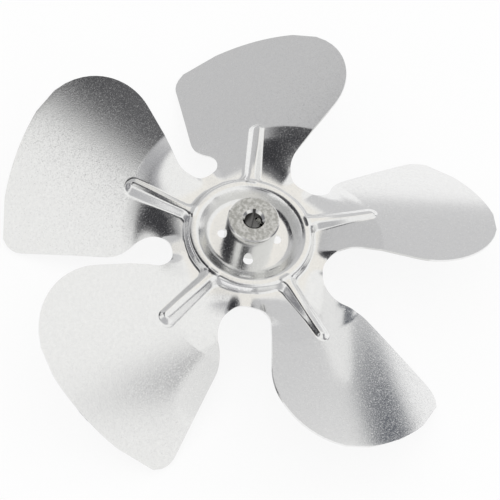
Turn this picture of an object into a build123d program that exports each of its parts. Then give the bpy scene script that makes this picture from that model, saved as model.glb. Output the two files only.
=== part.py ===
from build123d import *
from math import *
import os

# Axial fan wheel: one aluminium pressing with five blades, a raised ring round its flat
# centre and a bead along each blade root, carried by a plain steel bush.
# Origin on the shaft axis, level with the front face at the blade roots, +Z towards the bush
# nose, +X along the bead of one blade. Seen from +Z the blades climb clockwise.

# pressing
tip_radius = 115.0
sheet = 1.0

# flat centre and ring
centre_hole = 7.0
floor_radius = 19.6
floor_drop = 0.8
crest_inner = 25.6
crest_outer = 28.5
ring_foot = 30.0
ring_height = 3.4
flat_radius = 30.5
screw_circle = 12.5
screw_hole = 2.25

# blade outline, measured from the bead line
pocket_centre = 47.4
pocket_radius = 10.9
lead_angle = -35.4
lead_corner = 30.4
trail_angle = 14.1
trail_offset = 14.9
trail_corner = 11.8
trail_shoulder = 17.4
tip_arc_centre = 27.2

# blade surface: a rolled sheet whose straight lines run obliquely to the bead
mean_radius = 82.0
lift = 0.86
cone_slope = -0.029
pitch_slope = -0.556
roll_radius = 218.0
roll_angle = 23.0
bend_radius = 59.3
form_radius = 53.4
bend_share = 0.35
flat_sink = 0.03
web_turn = 3.5
web_share = 10.0

# bead on the blade root
bead_height = 3.3
bead_half = 4.2
bead_start = 28.0
bead_end = 58.2

# bush
bush_radius = 11.75
bush_height = 15.4
bore_radius = 4.0
mouth_radius = 5.1
rivet_radius = 8.4
rivet_height = 1.2
groove_width = 1.4
groove_reach = 5.3
screw_radius = 2.1
screw_level = 8.9
screw_turn = 312.0


def polar(radius, turn):
    return Vector(radius * cos(radians(turn)), radius * sin(radians(turn)))


def ease(share):
    share = min(max(share, 0.0), 1.0)
    return share * share * (3 - 2 * share)


def blade_height(x, y):
    # front face of the sheet beside one bead, flat up to the ring foot and along the pockets
    radius = hypot(x, y)
    turn = abs(degrees(atan2(y, x)))
    ramp = min(max((radius - flat_radius) / (bend_radius - flat_radius), 0), 1)
    across = (x - mean_radius) * sin(radians(roll_angle)) + y * cos(radians(roll_angle))
    blade = lift + cone_slope * (x - mean_radius) + pitch_slope * y - across**2 / (2 * roll_radius)
    rise = (1 - bend_share) * ease((radius - flat_radius) / (form_radius - flat_radius))
    rise += bend_share * ramp**1.5
    joined = ease((turn - 24) / 8) * (1 - ease((radius - 38) / 12))
    return blade * rise * (1 - joined) - flat_sink


def bead_face(x, y, half, sink):
    # face of the bead, which sinks under the sheet outside the bead
    aside = hypot(max(x - bead_end, 0), y)
    swell = 1 - ease(aside / half)
    level = blade_height(x, y)
    return level + (bead_height - blade_height(x, 0)) * swell - sink * (1 - swell)


def bead_top(x, y):
    return bead_face(x, y, bead_half, 0.1)


def bead_back(x, y):
    return bead_face(x, y, bead_half - 0.8, 0.4) - sheet


def underside(height, x, y):
    # the same face moved down by the sheet thickness along its normal
    slope_x = (height(x + 0.05, y) - height(x - 0.05, y)) / 0.1
    slope_y = (height(x, y + 0.05) - height(x, y - 0.05)) / 0.1
    return height(x, y) - sheet * sqrt(1 + slope_x**2 + slope_y**2)


def skin(height, x_from, x_to, y_to, pitch):
    x_count = round((x_to - x_from) / pitch)
    y_count = round(2 * y_to / pitch)
    rows = []
    for i in range(x_count + 1):
        x = x_from + (x_to - x_from) * i / x_count
        row = []
        for j in range(y_count + 1):
            y = y_to * (2 * j / y_count - 1)
            row.append(Vector(x, y, height(x, y)))
        rows.append(row)
    return Face.make_surface_from_array_of_points(rows, tol=0.01)


def along(start, direction, centre, radius):
    # far point of a line through start on a circle
    gap = start - centre
    half = gap.dot(direction)
    return start + direction * (sqrt(half**2 - gap.dot(gap) + radius**2) - half)


# one blade with its fifth of the web, bead along +X
lead_pocket = polar(pocket_centre, -36)
trail_pocket = polar(pocket_centre, 36)
tip_centre = Vector(tip_arc_centre, 0.8)
tip_arc = tip_radius - tip_centre.length
lead_start = lead_pocket + polar(pocket_radius, lead_angle + 90)
lead_tip = along(lead_start, polar(1, lead_angle), tip_centre, tip_arc)
trail_line = polar(trail_offset, trail_angle + 90)
trail_tip = along(trail_line, polar(1, trail_angle), tip_centre, tip_arc)
trail_end = along(trail_line, polar(1, trail_angle), trail_pocket, pocket_radius)
lead_bottom = lead_pocket + polar(pocket_radius, 144 - web_share)
trail_bottom = trail_pocket + polar(pocket_radius, 216 + web_share)
lead_foot = polar(flat_radius, web_turn - 36)
trail_foot = polar(flat_radius, 36 - web_turn)

with BuildPart() as blade:
    with BuildSketch(Plane.XY.offset(-45)) as outline:
        with BuildLine():
            Line(lead_start, lead_tip)
            ThreePointArc(lead_tip, tip_centre + Vector(tip_arc, 0), trail_tip)
            Line(trail_tip, trail_end)
            RadiusArc(trail_end, trail_bottom, pocket_radius)
            Line(trail_bottom, trail_foot)
            ThreePointArc(trail_foot, (flat_radius, 0), lead_foot)
            Line(lead_foot, lead_bottom)
            RadiusArc(lead_bottom, lead_start, pocket_radius)
        make_face()
        fillet(outline.vertices().sort_by_distance(lead_tip)[0], lead_corner)
        fillet(outline.vertices().sort_by_distance(trail_tip)[0], trail_corner)
        fillet(outline.vertices().sort_by_distance(trail_end)[0], trail_shoulder)
    extrude(amount=90)
    split(bisect_by=skin(blade_height, 21, 120, 51, 3), keep=Keep.BOTTOM)
    low_skin = skin(lambda x, y: underside(blade_height, x, y), 21, 120, 51, 3)
    split(bisect_by=low_skin, keep=Keep.TOP)

# flat web between two blades, behind a pocket
web_side = Vector(pocket_centre, 0) + polar(pocket_radius, 180 - web_share)
web_foot = polar(flat_radius, web_turn)
with BuildPart() as web:
    with BuildSketch(Plane.XY.offset(-sheet)):
        with BuildLine():
            ThreePointArc(web_foot, (flat_radius, 0), (web_foot.X, -web_foot.Y))
            Line((web_foot.X, -web_foot.Y), (web_side.X, -web_side.Y))
            ThreePointArc((web_side.X, -web_side.Y), (pocket_centre - pocket_radius, 0), web_side)
            Line(web_side, web_foot)
        make_face()
    extrude(amount=sheet)

# bead, first full and then hollowed from behind
with BuildPart() as bead:
    with BuildSketch(Plane.XY.offset(-20)):
        with BuildLine():
            Line((bead_start, bead_half + 0.1), (bead_start, -bead_half - 0.1))
            Line((bead_start, -bead_half - 0.1), (bead_end, -bead_half - 0.1))
            RadiusArc((bead_end, -bead_half - 0.1), (bead_end, bead_half + 0.1), -bead_half - 0.1)
            Line((bead_end, bead_half + 0.1), (bead_start, bead_half + 0.1))
        make_face()
    extrude(amount=40)
    split(bisect_by=skin(bead_top, 24, 66, 7, 0.7), keep=Keep.BOTTOM)
    split(bisect_by=skin(lambda x, y: blade_height(x, y) - 0.5 * sheet, 24, 66, 7, 1.4), keep=Keep.TOP)
    with BuildSketch(Plane.XZ):
        with BuildLine():
            Polyline((0, -20), (29.4, -20), (29.4, 0), (28, ring_height - 0.5), (0, ring_height - 0.5), close=True)
        make_face()
    revolve(axis=Axis.Z, mode=Mode.SUBTRACT)

with BuildPart() as bead_hollow:
    with BuildSketch(Plane.XY.offset(-8)):
        with BuildLine():
            Line((bead_start - 0.8, bead_half), (bead_start - 0.8, -bead_half))
            Line((bead_start - 0.8, -bead_half), (bead_end, -bead_half))
            RadiusArc((bead_end, -bead_half), (bead_end, bead_half), -bead_half)
            Line((bead_end, bead_half), (bead_start - 0.8, bead_half))
        make_face()
    extrude(amount=28)
    split(bisect_by=skin(bead_back, 24, 66, 7, 0.7), keep=Keep.BOTTOM)

with BuildPart() as wheel:
    with BuildSketch(Plane.XZ) as section:
        with BuildLine():
            front = FilletPolyline(
                (centre_hole, -floor_drop),
                (floor_radius, -floor_drop),
                (crest_inner, ring_height),
                (crest_outer, ring_height),
                (ring_foot, 0),
                (flat_radius, 0),
                radius=(5.0, 3.0, 1.2, 0.4),
            )
            offset(front, amount=sheet, side=Side.RIGHT)
        make_face()
    revolve(axis=Axis.Z)
    with PolarLocations(0, 5, start_angle=36):
        add(web.part)
    with PolarLocations(0, 5):
        add(blade.part)
        add(bead.part)
    with PolarLocations(0, 5):
        add(bead_hollow.part, mode=Mode.SUBTRACT)
    with BuildSketch(Plane.XY.offset(-3)):
        with PolarLocations(screw_circle, 4):
            Circle(screw_hole)
    extrude(amount=4, mode=Mode.SUBTRACT)

# bush, its spigot through the centre hole and riveted over behind
web_back = -floor_drop - sheet
tail = web_back - rivet_height
nose = bush_height - floor_drop
with BuildPart() as bush:
    with BuildSketch(Plane.XZ):
        with BuildLine():
            Polyline(
                (bore_radius, tail + 0.3),
                (bore_radius, nose - mouth_radius + bore_radius),
                (mouth_radius, nose),
                (bush_radius - 0.5, nose),
                (bush_radius, nose - 0.5),
                (bush_radius, -floor_drop),
                (centre_hole, -floor_drop),
                (centre_hole, web_back),
                (rivet_radius, web_back),
                (rivet_radius - 0.3, web_back - 0.8),
                (centre_hole, tail),
                (bore_radius + 0.3, tail),
                close=True,
            )
        make_face()
    revolve(axis=Axis.Z)
    with BuildSketch(Plane.XY.offset(tail - 1)):
        with Locations((groove_reach / 2, 0)):
            Rectangle(groove_reach, groove_width)
    extrude(amount=nose - tail + 2, mode=Mode.SUBTRACT)
    with BuildSketch(Plane((0, 0, screw_level), x_dir=(0, 0, 1), z_dir=polar(1, screw_turn))):
        Circle(screw_radius)
    extrude(amount=bush_radius + 1, mode=Mode.SUBTRACT)

wheel.part.label = "wheel"
bush.part.label = "bush"
os.makedirs("parts", exist_ok=True)
export_step(wheel.part, "parts/wheel.step")
export_step(bush.part, "parts/bush.step")
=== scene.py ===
import math

import bmesh
import bpy
import numpy as np
from mathutils import Euler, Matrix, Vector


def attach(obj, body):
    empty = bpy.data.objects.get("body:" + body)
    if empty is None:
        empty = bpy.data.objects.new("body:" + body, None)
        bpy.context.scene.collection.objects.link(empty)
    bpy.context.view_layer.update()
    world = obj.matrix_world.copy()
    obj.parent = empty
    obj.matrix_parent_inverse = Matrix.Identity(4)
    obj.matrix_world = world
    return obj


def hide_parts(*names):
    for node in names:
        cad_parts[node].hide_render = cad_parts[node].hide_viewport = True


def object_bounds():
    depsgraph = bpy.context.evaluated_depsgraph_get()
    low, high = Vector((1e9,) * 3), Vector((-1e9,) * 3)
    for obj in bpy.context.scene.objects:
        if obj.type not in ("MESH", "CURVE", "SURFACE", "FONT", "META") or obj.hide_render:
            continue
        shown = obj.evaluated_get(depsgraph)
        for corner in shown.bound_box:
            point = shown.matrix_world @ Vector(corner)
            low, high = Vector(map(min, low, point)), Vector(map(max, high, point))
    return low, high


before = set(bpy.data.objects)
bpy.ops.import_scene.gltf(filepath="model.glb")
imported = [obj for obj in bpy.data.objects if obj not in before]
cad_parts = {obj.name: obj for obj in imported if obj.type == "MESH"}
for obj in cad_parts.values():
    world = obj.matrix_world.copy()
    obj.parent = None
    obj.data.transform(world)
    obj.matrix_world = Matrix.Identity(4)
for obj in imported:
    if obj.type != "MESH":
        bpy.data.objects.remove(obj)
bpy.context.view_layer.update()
millimetre = 0.001
samePlace = 1e-7  # points nearer than this, in metres, are one point


def linearColour(text):
    # sRGB hex text to the linear numbers that the nodes take
    parts = []
    for i in (1, 3, 5):
        value = int(text[i:i + 2], 16) / 255
        parts.append(value / 12.92 if value <= 0.04045 else ((value + 0.055) / 1.055) ** 2.4)
    return (*parts, 1.0)


def addNode(tree, kind, links=None, inputs=None, **settings):
    # one node with its settings, its plain values and the links into it
    node = tree.nodes.new(kind)
    for name, value in settings.items():
        setattr(node, name, value)
    for name, value in (inputs or {}).items():
        node.inputs[name].default_value = value
    for name, source in (links or {}).items():
        tree.links.new(source, node.inputs[name])
    return node


# camera: place and nearest in metres, turn in degrees, lens and sensor in millimetres
cameraSet = {
    "place": (-0.31328, 0.05062, 0.51299),
    "turn": (30.3332, -7.3955, -87.0963),
    "lens": 95.18,
    "sensor": 36.0,
    "nearest": 0.01,
}


def makeCamera():
    data = bpy.data.cameras.new("camera")
    data.lens = cameraSet["lens"]
    data.sensor_width = cameraSet["sensor"]
    data.clip_start = cameraSet["nearest"]
    camera = bpy.data.objects.new("camera", data)
    camera.location = cameraSet["place"]
    camera.rotation_euler = Euler([math.radians(a) for a in cameraSet["turn"]], "XYZ")
    bpy.context.scene.collection.objects.link(camera)
    bpy.context.scene.camera = camera


makeCamera()
print("camera placed")

# pressed sheet: sizes in millimetres, turns in degrees from the bead's line in the middle of a blade
sheetSet = {
    "blades": 5,
    "thickness": 1.0,
    "crease": 50.0,  # edges that turn more than this stay sharp
    "centreHole": 7.0,
    "screwHole": 2.25,
    "screwHoles": 4,
    "screwCircle": 12.5,
    "flatRadius": 30.5,  # the ring ends and the flat web starts here
    # the bowl's flat floor behind the web, and the raised ring round it
    "ring": {
        "floorRadius": 17.2,
        "floorDrop": 0.8,
        "wallFoot": 19.3,
        "crestInner": 24.4,
        "crestOuter": 28.2,
        "outerFoot": 29.7,
        "height": 3.4,
        "rounds": (4.6, 3.2, 1.9, 1.15),
    },
    # outline of a blade: an arc at the tip, two straight sides, a pocket between neighbours
    "outline": {
        "tipRadius": 115.0,
        "tipCentre": (27.2, 0.8),
        "pocketCentre": 47.4,
        "pocketRadius": 10.9,
        "leadAngle": -35.4,
        "leadCorner": 30.4,
        "trailAngle": 14.1,
        "trailOffset": 14.9,
        "trailCorner": 11.8,
        "trailShoulder": 17.4,
    },
    # how a blade leaves the flat: a sheet rolled about lines that run obliquely to the bead
    "blade": {
        "meanRadius": 82.0,
        "lift": 0.86,
        "cone": -0.029,
        "pitch": -0.556,
        "rollRadius": 218.0,
        "rollAngle": 23.0,
        "bendRadius": 59.3,
        "bendPower": 1.5,
        "bendShare": 0.35,
        "formRadius": 53.4,
        # between two blades the web stays flat, from this turn on and out to this radius
        "webTurn": 24.0,
        "webTurnSpan": 8.0,
        "webRadius": 38.0,
        "webRadiusSpan": 12.0,
    },
    # hollow bead along the root of a blade: it starts on the ring and narrows to a round end
    "bead": {
        "start": 27.0,
        "end": 57.9,
        "height": 3.3,
        "endRise": 0.6,
        "crest": 1.35,
        "foot": 3.75,
        "crestRound": 1.3,
        "footRound": 0.9,
        "rootShare": 1.04,
        "endShare": 0.96,
        "rootOffset": 0.8,
        "endOffset": -0.1,
        "flare": 0.55,
        "flareStart": 29.0,
        "flareReach": 3.6,
        # soft join between bead and ring: its height, how fast it starts, how far aside it reaches
        "blend": 1.3,
        "blendSpan": 1.0,
        "blendReach": 9.0,
    },
    # how finely the surface is drawn, and the radii where its rows and columns change
    "mesh": {
        "sectionStep": 0.32,
        "webRows": 11,
        "pocketRows": 6,
        "pocketEnd": 38.5,
        "beadRows": 42,
        "beadEnd": 64.0,
        "bladeRows": 24,
        "tipRows": 12,
        # columns on each side of the bead's line: they gather round it, and stand evenly further out
        "columns": 38,
        "evenShare": 0.26,
        "gather": 2.2,
        "evenStart": 62.0,
        "evenSpan": 24.0,
        "leanStart": 70.0,  # from here the middle column leans to the middle of the tip
        "centreSides": 144,
        "screwSides": 56,
    },
}
halfPitch = 180 / sheetSet["blades"]


def ease(share):
    share = np.clip(share, 0, 1)
    return share * share * (3 - 2 * share)


def bladeHeight(x, y):
    # the blade's own surface, faded in from the flat web
    s = sheetSet["blade"]
    radius = np.hypot(x, y)
    turn = np.abs(np.degrees(np.arctan2(y, x)))
    flat = sheetSet["flatRadius"]
    oblique = math.radians(s["rollAngle"])
    across = (x - s["meanRadius"]) * math.sin(oblique) + y * math.cos(oblique)
    blade = s["lift"] + s["cone"] * (x - s["meanRadius"]) + s["pitch"] * y
    blade = blade - across ** 2 / (2 * s["rollRadius"])
    rise = (1 - s["bendShare"]) * ease((radius - flat) / (s["formRadius"] - flat))
    bend = np.clip((radius - flat) / (s["bendRadius"] - flat), 0, 1) ** s["bendPower"]
    rise = rise + s["bendShare"] * bend
    web = ease((turn - s["webTurn"]) / s["webTurnSpan"])
    web = web * (1 - ease((radius - s["webRadius"]) / s["webRadiusSpan"]))
    return blade * rise * (1 - web)


def roundedLine(points, rounds):
    # a polyline with its inner corners rounded, as closely spaced points
    made = [np.array(points[0], float)]
    for before, corner, after, size in zip(points, points[1:], points[2:], rounds):
        corner = np.array(corner, float)
        back = np.array(before, float) - corner
        ahead = np.array(after, float) - corner
        back /= np.linalg.norm(back)
        ahead /= np.linalg.norm(ahead)
        half = math.acos(np.clip(back @ ahead, -1, 1)) / 2
        reach = size / math.tan(half)
        middle = back + ahead
        centre = corner + middle / np.linalg.norm(middle) * size / math.sin(half)
        start = corner + back * reach - centre
        end = corner + ahead * reach - centre
        sweep = math.pi - 2 * half
        count = max(3, int(round(size * sweep / sheetSet["mesh"]["sectionStep"])))
        for i in range(count + 1):
            share = i / count
            bent = start * math.sin((1 - share) * sweep) + end * math.sin(share * sweep)
            made.append(centre + bent / math.sin(sweep))
    made.append(np.array(points[-1], float))
    return np.array(made)


def makeRingSection():
    # radius and height from the bowl's floor over the ring to the flat
    s = sheetSet["ring"]
    points = (
        (s["floorRadius"], -s["floorDrop"]), (s["wallFoot"], -s["floorDrop"]),
        (s["crestInner"], s["height"]), (s["crestOuter"], s["height"]),
        (s["outerFoot"], 0), (sheetSet["flatRadius"], 0))
    return roundedLine(points, s["rounds"])


def makeBeadSection():
    # distance from the bead's line and height, from the crest down to the sheet beside it
    s = sheetSet["bead"]
    points = ((0, s["height"]), (s["crest"], s["height"]), (s["foot"], 0), (s["blendReach"], 0))
    return roundedLine(points, (s["crestRound"], s["footRound"]))


ringSection = makeRingSection()
beadSection = makeBeadSection()


def ringHeight(radius):
    return np.interp(radius, ringSection[:, 0], ringSection[:, 1])


def beadSwell(x, y):
    # share of the bead's height at a point: it narrows towards its end and flares into the ring
    s = sheetSet["bead"]
    along = (x - sheetSet["flatRadius"]) / (s["end"] - sheetSet["flatRadius"])
    width = s["rootShare"] + (s["endShare"] - s["rootShare"]) * np.clip(along, 0, 1)
    width = width + s["flare"] * np.clip(1 - (x - s["flareStart"]) / s["flareReach"], 0, 1) ** 2
    middle = s["rootOffset"] + (s["endOffset"] - s["rootOffset"]) * np.clip(along, 0, 1)
    aside = np.hypot(np.maximum(x - s["end"], 0), y - middle) / width
    rise = 1 + s["endRise"] / s["height"] * ease(along)
    return np.interp(aside, beadSection[:, 0], beadSection[:, 1]) / s["height"] * rise


def frontHeight(x, y):
    # front face of the sheet, with x along the bead of one blade
    s = sheetSet["bead"]
    radius = np.hypot(x, y)
    flat = sheetSet["flatRadius"]
    swell = beadSwell(x, y)
    onBlade = bladeHeight(x, y) + (s["height"] - bladeHeight(x, 0 * y)) * swell
    ring = ringHeight(radius)
    bead = s["height"] * swell
    blend = s["blend"] * np.clip((flat - radius) / s["blendSpan"], 0.001, 1)  # kept above zero
    near = np.clip(blend - np.abs(ring - bead), 0, None) / blend
    onRing = np.maximum(ring, bead) + near ** 2 * blend / 4 * (swell > 0)
    onRing = np.where(radius < s["start"], ring, onRing)
    return np.where(radius >= flat, onBlade, onRing)


def circleTurn(radius, centre, size, side):
    # turn of the point at this radius on a circle round centre, on one side of it
    far = math.hypot(*centre)
    share = (radius ** 2 + far ** 2 - size ** 2) / (2 * radius * far)
    opening = math.degrees(math.acos(max(-1.0, min(1.0, share))))
    return math.degrees(math.atan2(centre[1], centre[0])) + side * opening


def lineTurn(radius, angle, offset):
    # turn of the point at this radius on a straight line that passes the axis at this offset
    return angle + math.degrees(math.asin(offset / radius))


def polar(radius, turn):
    return np.array((radius * math.cos(math.radians(turn)), radius * math.sin(math.radians(turn))))


def roundCentre(start, turn, inward, size, centre, reach):
    # centre of a round that touches a line and keeps this reach from a centre
    ahead = polar(1, turn)
    base = start + polar(size, turn + inward) - centre
    along = base @ ahead
    return centre + base + ahead * (math.sqrt(along ** 2 - base @ base + reach ** 2) - along)


def bladeOutline():
    # both side edges of a blade, as stretches of (largest radius, turn at a radius)
    s = sheetSet["outline"]
    tip = np.array(s["tipCentre"])
    tipArc = s["tipRadius"] - math.hypot(*tip)
    leadPocket = polar(s["pocketCentre"], -halfPitch)
    trailPocket = polar(s["pocketCentre"], halfPitch)
    leadStart = leadPocket + polar(s["pocketRadius"], s["leadAngle"] + 90)
    leadOffset = leadStart @ polar(1, s["leadAngle"] + 90)
    trailStart = polar(s["trailOffset"], s["trailAngle"] + 90)
    leadRound = roundCentre(
        leadStart, s["leadAngle"], 90, s["leadCorner"], tip, tipArc - s["leadCorner"])
    trailRound = roundCentre(
        trailStart, s["trailAngle"], -90, s["trailCorner"], tip, tipArc - s["trailCorner"])
    shoulder = roundCentre(
        trailStart, s["trailAngle"], -90, s["trailShoulder"], trailPocket,
        s["pocketRadius"] + s["trailShoulder"])
    leadTouch = leadRound - polar(s["leadCorner"], s["leadAngle"] + 90)
    leadTip = tip + (leadRound - tip) * tipArc / np.linalg.norm(leadRound - tip)
    trailTouch = trailRound - polar(s["trailCorner"], s["trailAngle"] - 90)
    trailTip = tip + (trailRound - tip) * tipArc / np.linalg.norm(trailRound - tip)
    shoulderTouch = shoulder - polar(s["trailShoulder"], s["trailAngle"] - 90)
    toShoulder = (shoulder - trailPocket) / np.linalg.norm(shoulder - trailPocket)
    pocketLeave = trailPocket + toShoulder * s["pocketRadius"]
    bottom = s["pocketCentre"] - s["pocketRadius"]
    pastTip = s["tipRadius"] + 1
    lead = [
        (bottom, lambda r: -halfPitch),
        (np.linalg.norm(leadStart), lambda r: circleTurn(r, leadPocket, s["pocketRadius"], 1)),
        (np.linalg.norm(leadTouch), lambda r: lineTurn(r, s["leadAngle"], leadOffset)),
        (np.linalg.norm(leadTip), lambda r: circleTurn(r, leadRound, s["leadCorner"], -1)),
        (pastTip, lambda r: circleTurn(r, tip, tipArc, -1)),
    ]
    trail = [
        (bottom, lambda r: halfPitch),
        (np.linalg.norm(pocketLeave), lambda r: circleTurn(r, trailPocket, s["pocketRadius"], -1)),
        (np.linalg.norm(shoulderTouch), lambda r: circleTurn(r, shoulder, s["trailShoulder"], 1)),
        (np.linalg.norm(trailTouch), lambda r: lineTurn(r, s["trailAngle"], s["trailOffset"])),
        (np.linalg.norm(trailTip), lambda r: circleTurn(r, trailRound, s["trailCorner"], 1)),
        (pastTip, lambda r: circleTurn(r, tip, tipArc, 1)),
    ]
    return lead, trail


def turnAt(edge, radius):
    for reach, turn in edge:
        if radius <= reach:
            return turn(radius)


def rowRadii(lead, trail):
    # over the ring, then close together over the bead, in the pocket's bottom and at the tip
    m = sheetSet["mesh"]
    tipRadius = sheetSet["outline"]["tipRadius"]
    bottom = lead[0][0]
    cornerRadius = max(lead[-2][0], trail[-2][0])
    rows = list(ringSection[:-1, 0])
    rows += list(np.linspace(sheetSet["flatRadius"], bottom, m["webRows"]))
    for i in range(1, m["pocketRows"] + 1):
        rows.append(bottom + (m["pocketEnd"] - bottom) * (i / m["pocketRows"]) ** 2)
    rows += list(np.linspace(m["pocketEnd"], m["beadEnd"], m["beadRows"])[1:])
    rows += list(np.linspace(m["beadEnd"], cornerRadius, m["bladeRows"])[1:])
    for i in range(1, m["tipRows"] + 1):
        rows.append(tipRadius - (tipRadius - cornerRadius) * (1 - i / m["tipRows"]) ** 2)
    return rows


def frontRows():
    # front face of one blade with its share of the web, ring and bowl, as one row per radius
    m = sheetSet["mesh"]
    tipRadius = sheetSet["outline"]["tipRadius"]
    tipX, tipY = sheetSet["outline"]["tipCentre"]
    tipTurn = math.degrees(math.atan2(tipY, tipX))
    lead, trail = bladeOutline()
    shares = np.linspace(-1, 1, 2 * m["columns"] + 1)
    dense = m["evenShare"] * np.abs(shares) + (1 - m["evenShare"]) * np.abs(shares) ** m["gather"]
    dense = np.sign(shares) * dense
    made = []
    for radius in rowRadii(lead, trail):
        onRing = radius <= sheetSet["flatRadius"]
        low = -halfPitch if onRing else turnAt(lead, radius)
        high = halfPitch if onRing else turnAt(trail, radius)
        middle = tipTurn * ease((radius - m["leanStart"]) / (tipRadius - m["leanStart"]))
        even = ease((radius - m["evenStart"]) / m["evenSpan"])
        spread = dense * (1 - even) + shares * even
        turns = middle + np.where(spread < 0, middle - low, high - middle) * spread
        x = radius * np.cos(np.radians(turns))
        y = radius * np.sin(np.radians(turns))
        made.append((x, y, frontHeight(x, y)))
    return made


def makeSheet():
    # front face of all blades, then the bowl's floor and the back
    points = []
    faces = []
    rows = frontRows()
    width = len(rows[0][0])
    for blade in range(sheetSet["blades"]):
        first = len(points)
        spin = math.radians(2 * halfPitch * blade)
        for row in rows:
            for x, y, z in zip(*row):
                points.append((
                    x * math.cos(spin) - y * math.sin(spin),
                    x * math.sin(spin) + y * math.cos(spin), z))
        for i in range(len(rows) - 1):
            for j in range(width - 1):
                a = first + i * width + j
                faces.append((a, a + width, a + width + 1, a + 1))
    mesh = bpy.data.meshes.new("pressedSheet")
    mesh.from_pydata([tuple(c * millimetre for c in p) for p in points], [], faces)
    bm = bmesh.new()
    bm.from_mesh(mesh)
    bmesh.ops.remove_doubles(bm, verts=bm.verts, dist=samePlace)
    fillFloor(bm)
    bmesh.ops.recalc_face_normals(bm, faces=bm.faces)
    floorFace = min(bm.faces, key=lambda f: f.calc_center_median().length)
    if floorFace.normal.z < 0:
        bmesh.ops.reverse_faces(bm, faces=bm.faces)
    thickenSheet(bm)
    bm.to_mesh(mesh)
    bm.free()
    return mesh


def fillFloor(bm):
    # flat floor between the bowl's wall, the centre hole and the screw holes
    s = sheetSet
    floorRadius = s["ring"]["floorRadius"] * millimetre
    level = -s["ring"]["floorDrop"] * millimetre
    rim = [e for e in bm.edges if e.is_boundary
           and all(abs(v.co.xy.length - floorRadius) < millimetre / 1000 for v in e.verts)]
    loops = [((0, 0), s["centreHole"], s["mesh"]["centreSides"])]
    for k in range(s["screwHoles"]):
        centre = polar(s["screwCircle"], 360 / s["screwHoles"] * k)
        loops.append((centre, s["screwHole"], s["mesh"]["screwSides"]))
    for centre, radius, count in loops:
        ring = []
        for i in range(count):
            x, y = centre + polar(radius, 360 * i / count)
            ring.append(bm.verts.new((x * millimetre, y * millimetre, level)))
        rim += [bm.edges.new((a, b)) for a, b in zip(ring, ring[1:] + ring[:1])]
    bmesh.ops.triangle_fill(bm, use_beauty=True, use_dissolve=False, edges=rim)


def thickenSheet(bm):
    # back face one sheet thickness behind the front, joined round every edge
    bm.normal_update()
    front = list(bm.faces)
    border = [e for e in bm.edges if e.is_boundary]
    sides = [(e.link_loops[0].vert, e.link_loops[0].link_loop_next.vert) for e in border]
    depth = sheetSet["thickness"] * millimetre
    crease = math.radians(sheetSet["crease"])
    behind = {v: bm.verts.new(v.co - v.normal * depth) for v in list(bm.verts)}
    for face in front:
        bm.faces.new([behind[v] for v in reversed(face.verts)])
    for a, b in sides:
        bm.faces.new((b, a, behind[a], behind[b]))
    bm.normal_update()
    for edge in bm.edges:
        if len(edge.link_faces) == 2 and edge.calc_face_angle(0) > crease:
            edge.smooth = False
    for face in bm.faces:
        face.smooth = True


sheetMesh = makeSheet()
sheetPiece = bpy.data.objects.new("pressedSheet", sheetMesh)
bpy.context.scene.collection.objects.link(sheetPiece)
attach(sheetPiece, "root")
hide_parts("wheel")
print("sheet made", len(sheetMesh.polygons), "faces")

# mill-finish aluminium sheet, rolled and pressed: bright, with a soft mirror and a fine sparkle
# of grain; real grain is too fine to show, so it is drawn about half a millimetre across
aluminiumSet = {
    "base": "#F8F8F7",
    "dull": "#E9E9E9",
    "roughness": 0.12,
    "dullRoughness": 0.30,
    "dullFrom": 0.47,
    "dullTo": 0.69,
    "rollingTurn": -37.0,
    "grainLength": 0.65,
    "grainWidth": 0.5,
    "grainBump": 0.32,
    "grainDepth": 0.05,
    "mottle": 1.6,
}


def millAluminium():
    s = aluminiumSet
    material = bpy.data.materials.new("millAluminium")
    material.use_nodes = True
    tree = material.node_tree
    shader = tree.nodes["Principled BSDF"]
    shader.inputs["Metallic"].default_value = 1.0
    place = addNode(tree, "ShaderNodeTexCoord").outputs["Object"]
    along = addNode(
        tree, "ShaderNodeMapping", vector_type="TEXTURE", links={"Vector": place},
        inputs={"Rotation": (0, 0, math.radians(s["rollingTurn"])),
                "Scale": (s["grainLength"] * millimetre, s["grainWidth"] * millimetre, millimetre)})
    grain = addNode(
        tree, "ShaderNodeTexNoise", links={"Vector": along.outputs[0]},
        inputs={"Scale": 1.0, "Detail": 3.0, "Roughness": 0.6})
    mottle = addNode(
        tree, "ShaderNodeTexNoise", links={"Vector": place},
        inputs={"Scale": 1 / (s["mottle"] * millimetre), "Detail": 4.0, "Roughness": 0.65})
    tint = addNode(tree, "ShaderNodeMix", data_type="RGBA", links={0: mottle.outputs["Fac"]})
    tint.inputs[6].default_value = linearColour(s["dull"])
    tint.inputs[7].default_value = linearColour(s["base"])
    tree.links.new(tint.outputs[2], shader.inputs["Base Color"])
    rough = addNode(
        tree, "ShaderNodeMapRange", links={"Value": grain.outputs["Fac"]},
        inputs={"From Min": s["dullFrom"], "From Max": s["dullTo"],
                "To Min": s["roughness"], "To Max": s["dullRoughness"]})
    tree.links.new(rough.outputs[0], shader.inputs["Roughness"])
    bump = addNode(
        tree, "ShaderNodeBump", links={"Height": grain.outputs["Fac"]},
        inputs={"Strength": s["grainBump"], "Distance": s["grainDepth"] * millimetre})
    tree.links.new(bump.outputs[0], shader.inputs["Normal"])
    return material


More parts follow.
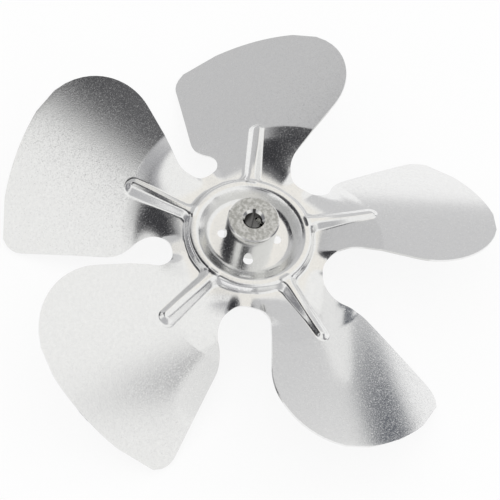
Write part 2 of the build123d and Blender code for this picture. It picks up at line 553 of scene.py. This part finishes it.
# turned and plated steel hub: its end face is dull and mottled with faint tool rings, its side
# is a dark and white mirror, and its bore and key groove are painted darker as shade inside the hole
steelSet = {
    "base": "#E4E4E2",
    "stain": "#B9B9B5",
    "stainFrom": 0.40,
    "stainTo": 0.62,
    # painted shade: the colour given to the bore's upright walls for the shade inside the hole
    "boreShade": "#6F6E6C",
    "boreRadius": 6.0,  # takes in the key groove
    "boreEdge": 0.15,
    "boreUpright": (0.5, 0.3),
    "face": (0.90, 0.98),  # how far up a surface looks before it counts as end face
    "faceRoughness": 0.34,
    "sideRoughness": 0.10,
    "mottle": 1.5,
    "toolMark": 0.35,
    "waveLength": 0.314,  # distance between the rings of a wave texture of scale 1
    "relief": 0.14,
    "reliefDepth": 0.05,
}


def platedSteel():
    s = steelSet
    material = bpy.data.materials.new("platedSteel")
    material.use_nodes = True
    tree = material.node_tree
    shader = tree.nodes["Principled BSDF"]
    shader.inputs["Metallic"].default_value = 1.0
    coordinates = addNode(tree, "ShaderNodeTexCoord")
    place = coordinates.outputs["Object"]
    facing = addNode(
        tree, "ShaderNodeSeparateXYZ", links={0: coordinates.outputs["Normal"]}).outputs[2]
    face = addNode(
        tree, "ShaderNodeMapRange", links={"Value": facing}, interpolation_type="SMOOTHSTEP",
        inputs={"From Min": s["face"][0], "From Max": s["face"][1]}).outputs[0]
    upright = addNode(
        tree, "ShaderNodeMapRange", links={"Value": facing}, interpolation_type="SMOOTHSTEP",
        inputs={"From Min": s["boreUpright"][0], "From Max": s["boreUpright"][1]}).outputs[0]
    flat = addNode(
        tree, "ShaderNodeVectorMath", operation="MULTIPLY", inputs={1: (1, 1, 0)}, links={0: place})
    reach = addNode(tree, "ShaderNodeVectorMath", operation="LENGTH", links={0: flat.outputs[0]})
    near = addNode(
        tree, "ShaderNodeMapRange", links={"Value": reach.outputs["Value"]},
        interpolation_type="SMOOTHSTEP",
        inputs={"From Min": (s["boreRadius"] + s["boreEdge"]) * millimetre,
                "From Max": s["boreRadius"] * millimetre}).outputs[0]
    inside = addNode(
        tree, "ShaderNodeMath", operation="MULTIPLY", links={0: near, 1: upright}).outputs[0]
    spots = addNode(
        tree, "ShaderNodeTexNoise", links={"Vector": place},
        inputs={"Scale": 1 / (s["mottle"] * millimetre), "Detail": 5.0, "Roughness": 0.7})
    stain = addNode(
        tree, "ShaderNodeMapRange", links={"Value": spots.outputs["Fac"]},
        interpolation_type="SMOOTHSTEP",
        inputs={"From Min": s["stainFrom"], "From Max": s["stainTo"]}).outputs[0]
    dulled = addNode(tree, "ShaderNodeMix", data_type="RGBA", links={0: stain})
    dulled.inputs[6].default_value = linearColour(s["stain"])
    dulled.inputs[7].default_value = linearColour(s["base"])
    clean = addNode(tree, "ShaderNodeMix", data_type="RGBA", links={0: face, 7: dulled.outputs[2]})
    clean.inputs[6].default_value = linearColour(s["base"])
    # painted shade: the bore's upright walls take the darker colour for the shade inside the hole
    shadedBore = addNode(tree, "ShaderNodeMix", data_type="RGBA", links={0: inside, 6: clean.outputs[2]})
    shadedBore.inputs[7].default_value = linearColour(s["boreShade"])
    tree.links.new(shadedBore.outputs[2], shader.inputs["Base Color"])
    dull = addNode(tree, "ShaderNodeMath", operation="MAXIMUM", links={0: face, 1: inside})
    rough = addNode(
        tree, "ShaderNodeMapRange", links={"Value": dull.outputs[0]},
        inputs={"To Min": s["sideRoughness"], "To Max": s["faceRoughness"]})
    tree.links.new(rough.outputs[0], shader.inputs["Roughness"])
    marks = addNode(
        tree, "ShaderNodeTexWave", wave_type="RINGS", rings_direction="Z", links={"Vector": place},
        inputs={"Scale": s["waveLength"] / (s["toolMark"] * millimetre),
                "Distortion": 1.5, "Detail": 2.0})
    relief = addNode(
        tree, "ShaderNodeMath", operation="ADD",
        links={0: marks.outputs["Fac"], 1: spots.outputs["Fac"]})
    bump = addNode(
        tree, "ShaderNodeBump", links={"Height": relief.outputs[0]},
        inputs={"Strength": s["relief"], "Distance": s["reliefDepth"] * millimetre})
    tree.links.new(bump.outputs[0], shader.inputs["Normal"])
    return material


sheetMesh.materials.append(millAluminium())
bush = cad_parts["bush"]
bush.data.materials.clear()
bush.data.materials.append(platedSteel())
print("materials set")

# plain white floor: it glows for the rays that show it, and its diffuse share keeps a soft shadow
floorSet = {
    "half": 4.0,
    "gap": 0.001,  # metres below the lowest blade
    "colour": "#FEFEFE",
    "glow": 0.82,
}


def makeFloor():
    mesh = bpy.data.meshes.new("floor")
    half = floorSet["half"]
    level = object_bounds()[0].z - floorSet["gap"]
    mesh.from_pydata(
        [(-half, -half, level), (half, -half, level), (half, half, level), (-half, half, level)],
        [], [(0, 1, 2, 3)])
    floor = bpy.data.objects.new("floor", mesh)
    bpy.context.scene.collection.objects.link(floor)
    material = bpy.data.materials.new("paleFloor")
    material.use_nodes = True
    tree = material.node_tree
    tree.nodes.clear()
    path = addNode(tree, "ShaderNodeLightPath")
    seen = path.outputs["Is Camera Ray"]
    for ray in ("Is Glossy Ray", "Is Transmission Ray"):
        seen = addNode(
            tree, "ShaderNodeMath", operation="MAXIMUM",
            links={0: seen, 1: path.outputs[ray]}).outputs[0]
    share = addNode(
        tree, "ShaderNodeMath", operation="MULTIPLY",
        inputs={1: floorSet["glow"]}, links={0: seen}).outputs[0]
    plain = addNode(
        tree, "ShaderNodeBsdfDiffuse", inputs={"Color": linearColour(floorSet["colour"])})
    glow = addNode(tree, "ShaderNodeEmission", inputs={"Strength": 1.0})
    mix = addNode(
        tree, "ShaderNodeMixShader", links={0: share, 1: plain.outputs[0], 2: glow.outputs[0]})
    addNode(tree, "ShaderNodeOutputMaterial", links={"Surface": mix.outputs[0]})
    mesh.materials.append(material)


makeFloor()
print("floor laid")

# soft studio of pale and dark cards round the wheel, placed by the x and y of a ray's direction;
# later cards lie over earlier ones
studioSet = {
    "white": "#F8F8F7",
    "lowest": (-0.6, -0.4),  # the cards fade out below this z of the direction
    "cards": (
        {"from": (-1.2, -1.2), "to": (-0.72, 1.2), "soft": 0.10, "colour": "#BEBEC0"},
        {"from": (-1.2, 0.84), "to": (0.5, 1.2), "soft": 0.08, "colour": "#8A8A8E"},
        {"from": (-1.2, -1.2), "to": (0.45, -0.90), "soft": 0.04, "colour": "#8A8A8E"},
        {"from": (-0.72, -0.16), "to": (-0.36, 0.28), "soft": 0.07, "colour": "#BDBDBF"},
        {"from": (-0.60, -0.02), "to": (-0.42, 0.26), "soft": 0.05, "colour": "#3E3E40"},
        {"from": (0.30, -0.30), "to": (0.66, 0.00), "soft": 0.08, "colour": "#F8F5EF"},
        {"from": (0.72, -1.2), "to": (1.3, 1.2), "soft": 0.06, "colour": "#D2D2D3"},
        {"from": (0.42, 0.02), "to": (1.2, 1.2), "soft": 0.06, "colour": "#C9C9CA"},
        {"from": (-0.40, -0.16), "to": (0.02, 0.16), "soft": 0.10, "colour": "#B0B0B3"},
        {"from": (-0.24, -0.86), "to": (-0.13, -0.73), "soft": 0.03, "colour": "#A0A0A3"},
        {"from": (-0.25, 0.0), "to": (0.48, 0.72), "soft": 0.06, "colour": "#646466"},
        {"from": (-0.16, 0.20), "to": (0.43, 0.66), "soft": 0.09, "colour": "#3A3A3D"},
        {"from": (0.55, -0.95), "to": (0.745, -0.64), "soft": 0.03, "rise": 0.17, "colour": "#5A5E66"},
    ),
}


def cardShare(tree, axes, card):
    # how much of a card a direction sees: soft edges on its four sides, and a top if it has a rise
    soft = card["soft"]
    edges = [(2, *studioSet["lowest"])]
    if "rise" in card:
        edges.append((2, card["rise"] + soft, card["rise"] - soft))
    for i in (0, 1):
        edges.append((i, card["from"][i] - soft, card["from"][i] + soft))
        edges.append((i, card["to"][i] + soft, card["to"][i] - soft))
    share = None
    for axis, none, full in edges:
        edge = addNode(
            tree, "ShaderNodeMapRange", links={"Value": axes.outputs[axis]},
            interpolation_type="SMOOTHSTEP", inputs={"From Min": none, "From Max": full}).outputs[0]
        share = edge if share is None else addNode(
            tree, "ShaderNodeMath", operation="MULTIPLY", links={0: share, 1: edge}).outputs[0]
    return share


def makeStudio():
    s = studioSet
    world = bpy.data.worlds.new("studio")
    bpy.context.scene.world = world
    world.use_nodes = True
    tree = world.node_tree
    tree.nodes.clear()
    place = addNode(tree, "ShaderNodeTexCoord")
    axes = addNode(tree, "ShaderNodeSeparateXYZ", links={0: place.outputs["Generated"]})
    shade = addNode(tree, "ShaderNodeRGB").outputs[0]
    shade.default_value = linearColour(s["white"])
    for card in s["cards"]:
        layer = addNode(
            tree, "ShaderNodeMix", data_type="RGBA", links={0: cardShare(tree, axes, card), 6: shade})
        layer.inputs[7].default_value = linearColour(card["colour"])
        shade = layer.outputs[2]
    # plain white where it is seen directly or lights the floor, and the cards in the metal
    path = addNode(tree, "ShaderNodeLightPath")
    room = addNode(tree, "ShaderNodeBackground", inputs={"Strength": 1.0}, links={"Color": shade})
    white = addNode(tree, "ShaderNodeBackground", inputs={"Strength": 1.0, "Color": (1, 1, 1, 1)})
    plain = addNode(tree, "ShaderNodeMath", operation="MAXIMUM", links={
        0: path.outputs["Is Camera Ray"], 1: path.outputs["Is Diffuse Ray"]})
    mix = addNode(tree, "ShaderNodeMixShader", links={
        0: plain.outputs[0], 1: room.outputs[0], 2: white.outputs[0]})
    addNode(tree, "ShaderNodeOutputWorld", links={"Surface": mix.outputs[0]})


makeStudio()
bpy.context.scene.view_settings.view_transform = "Standard"
print("stage and light made")
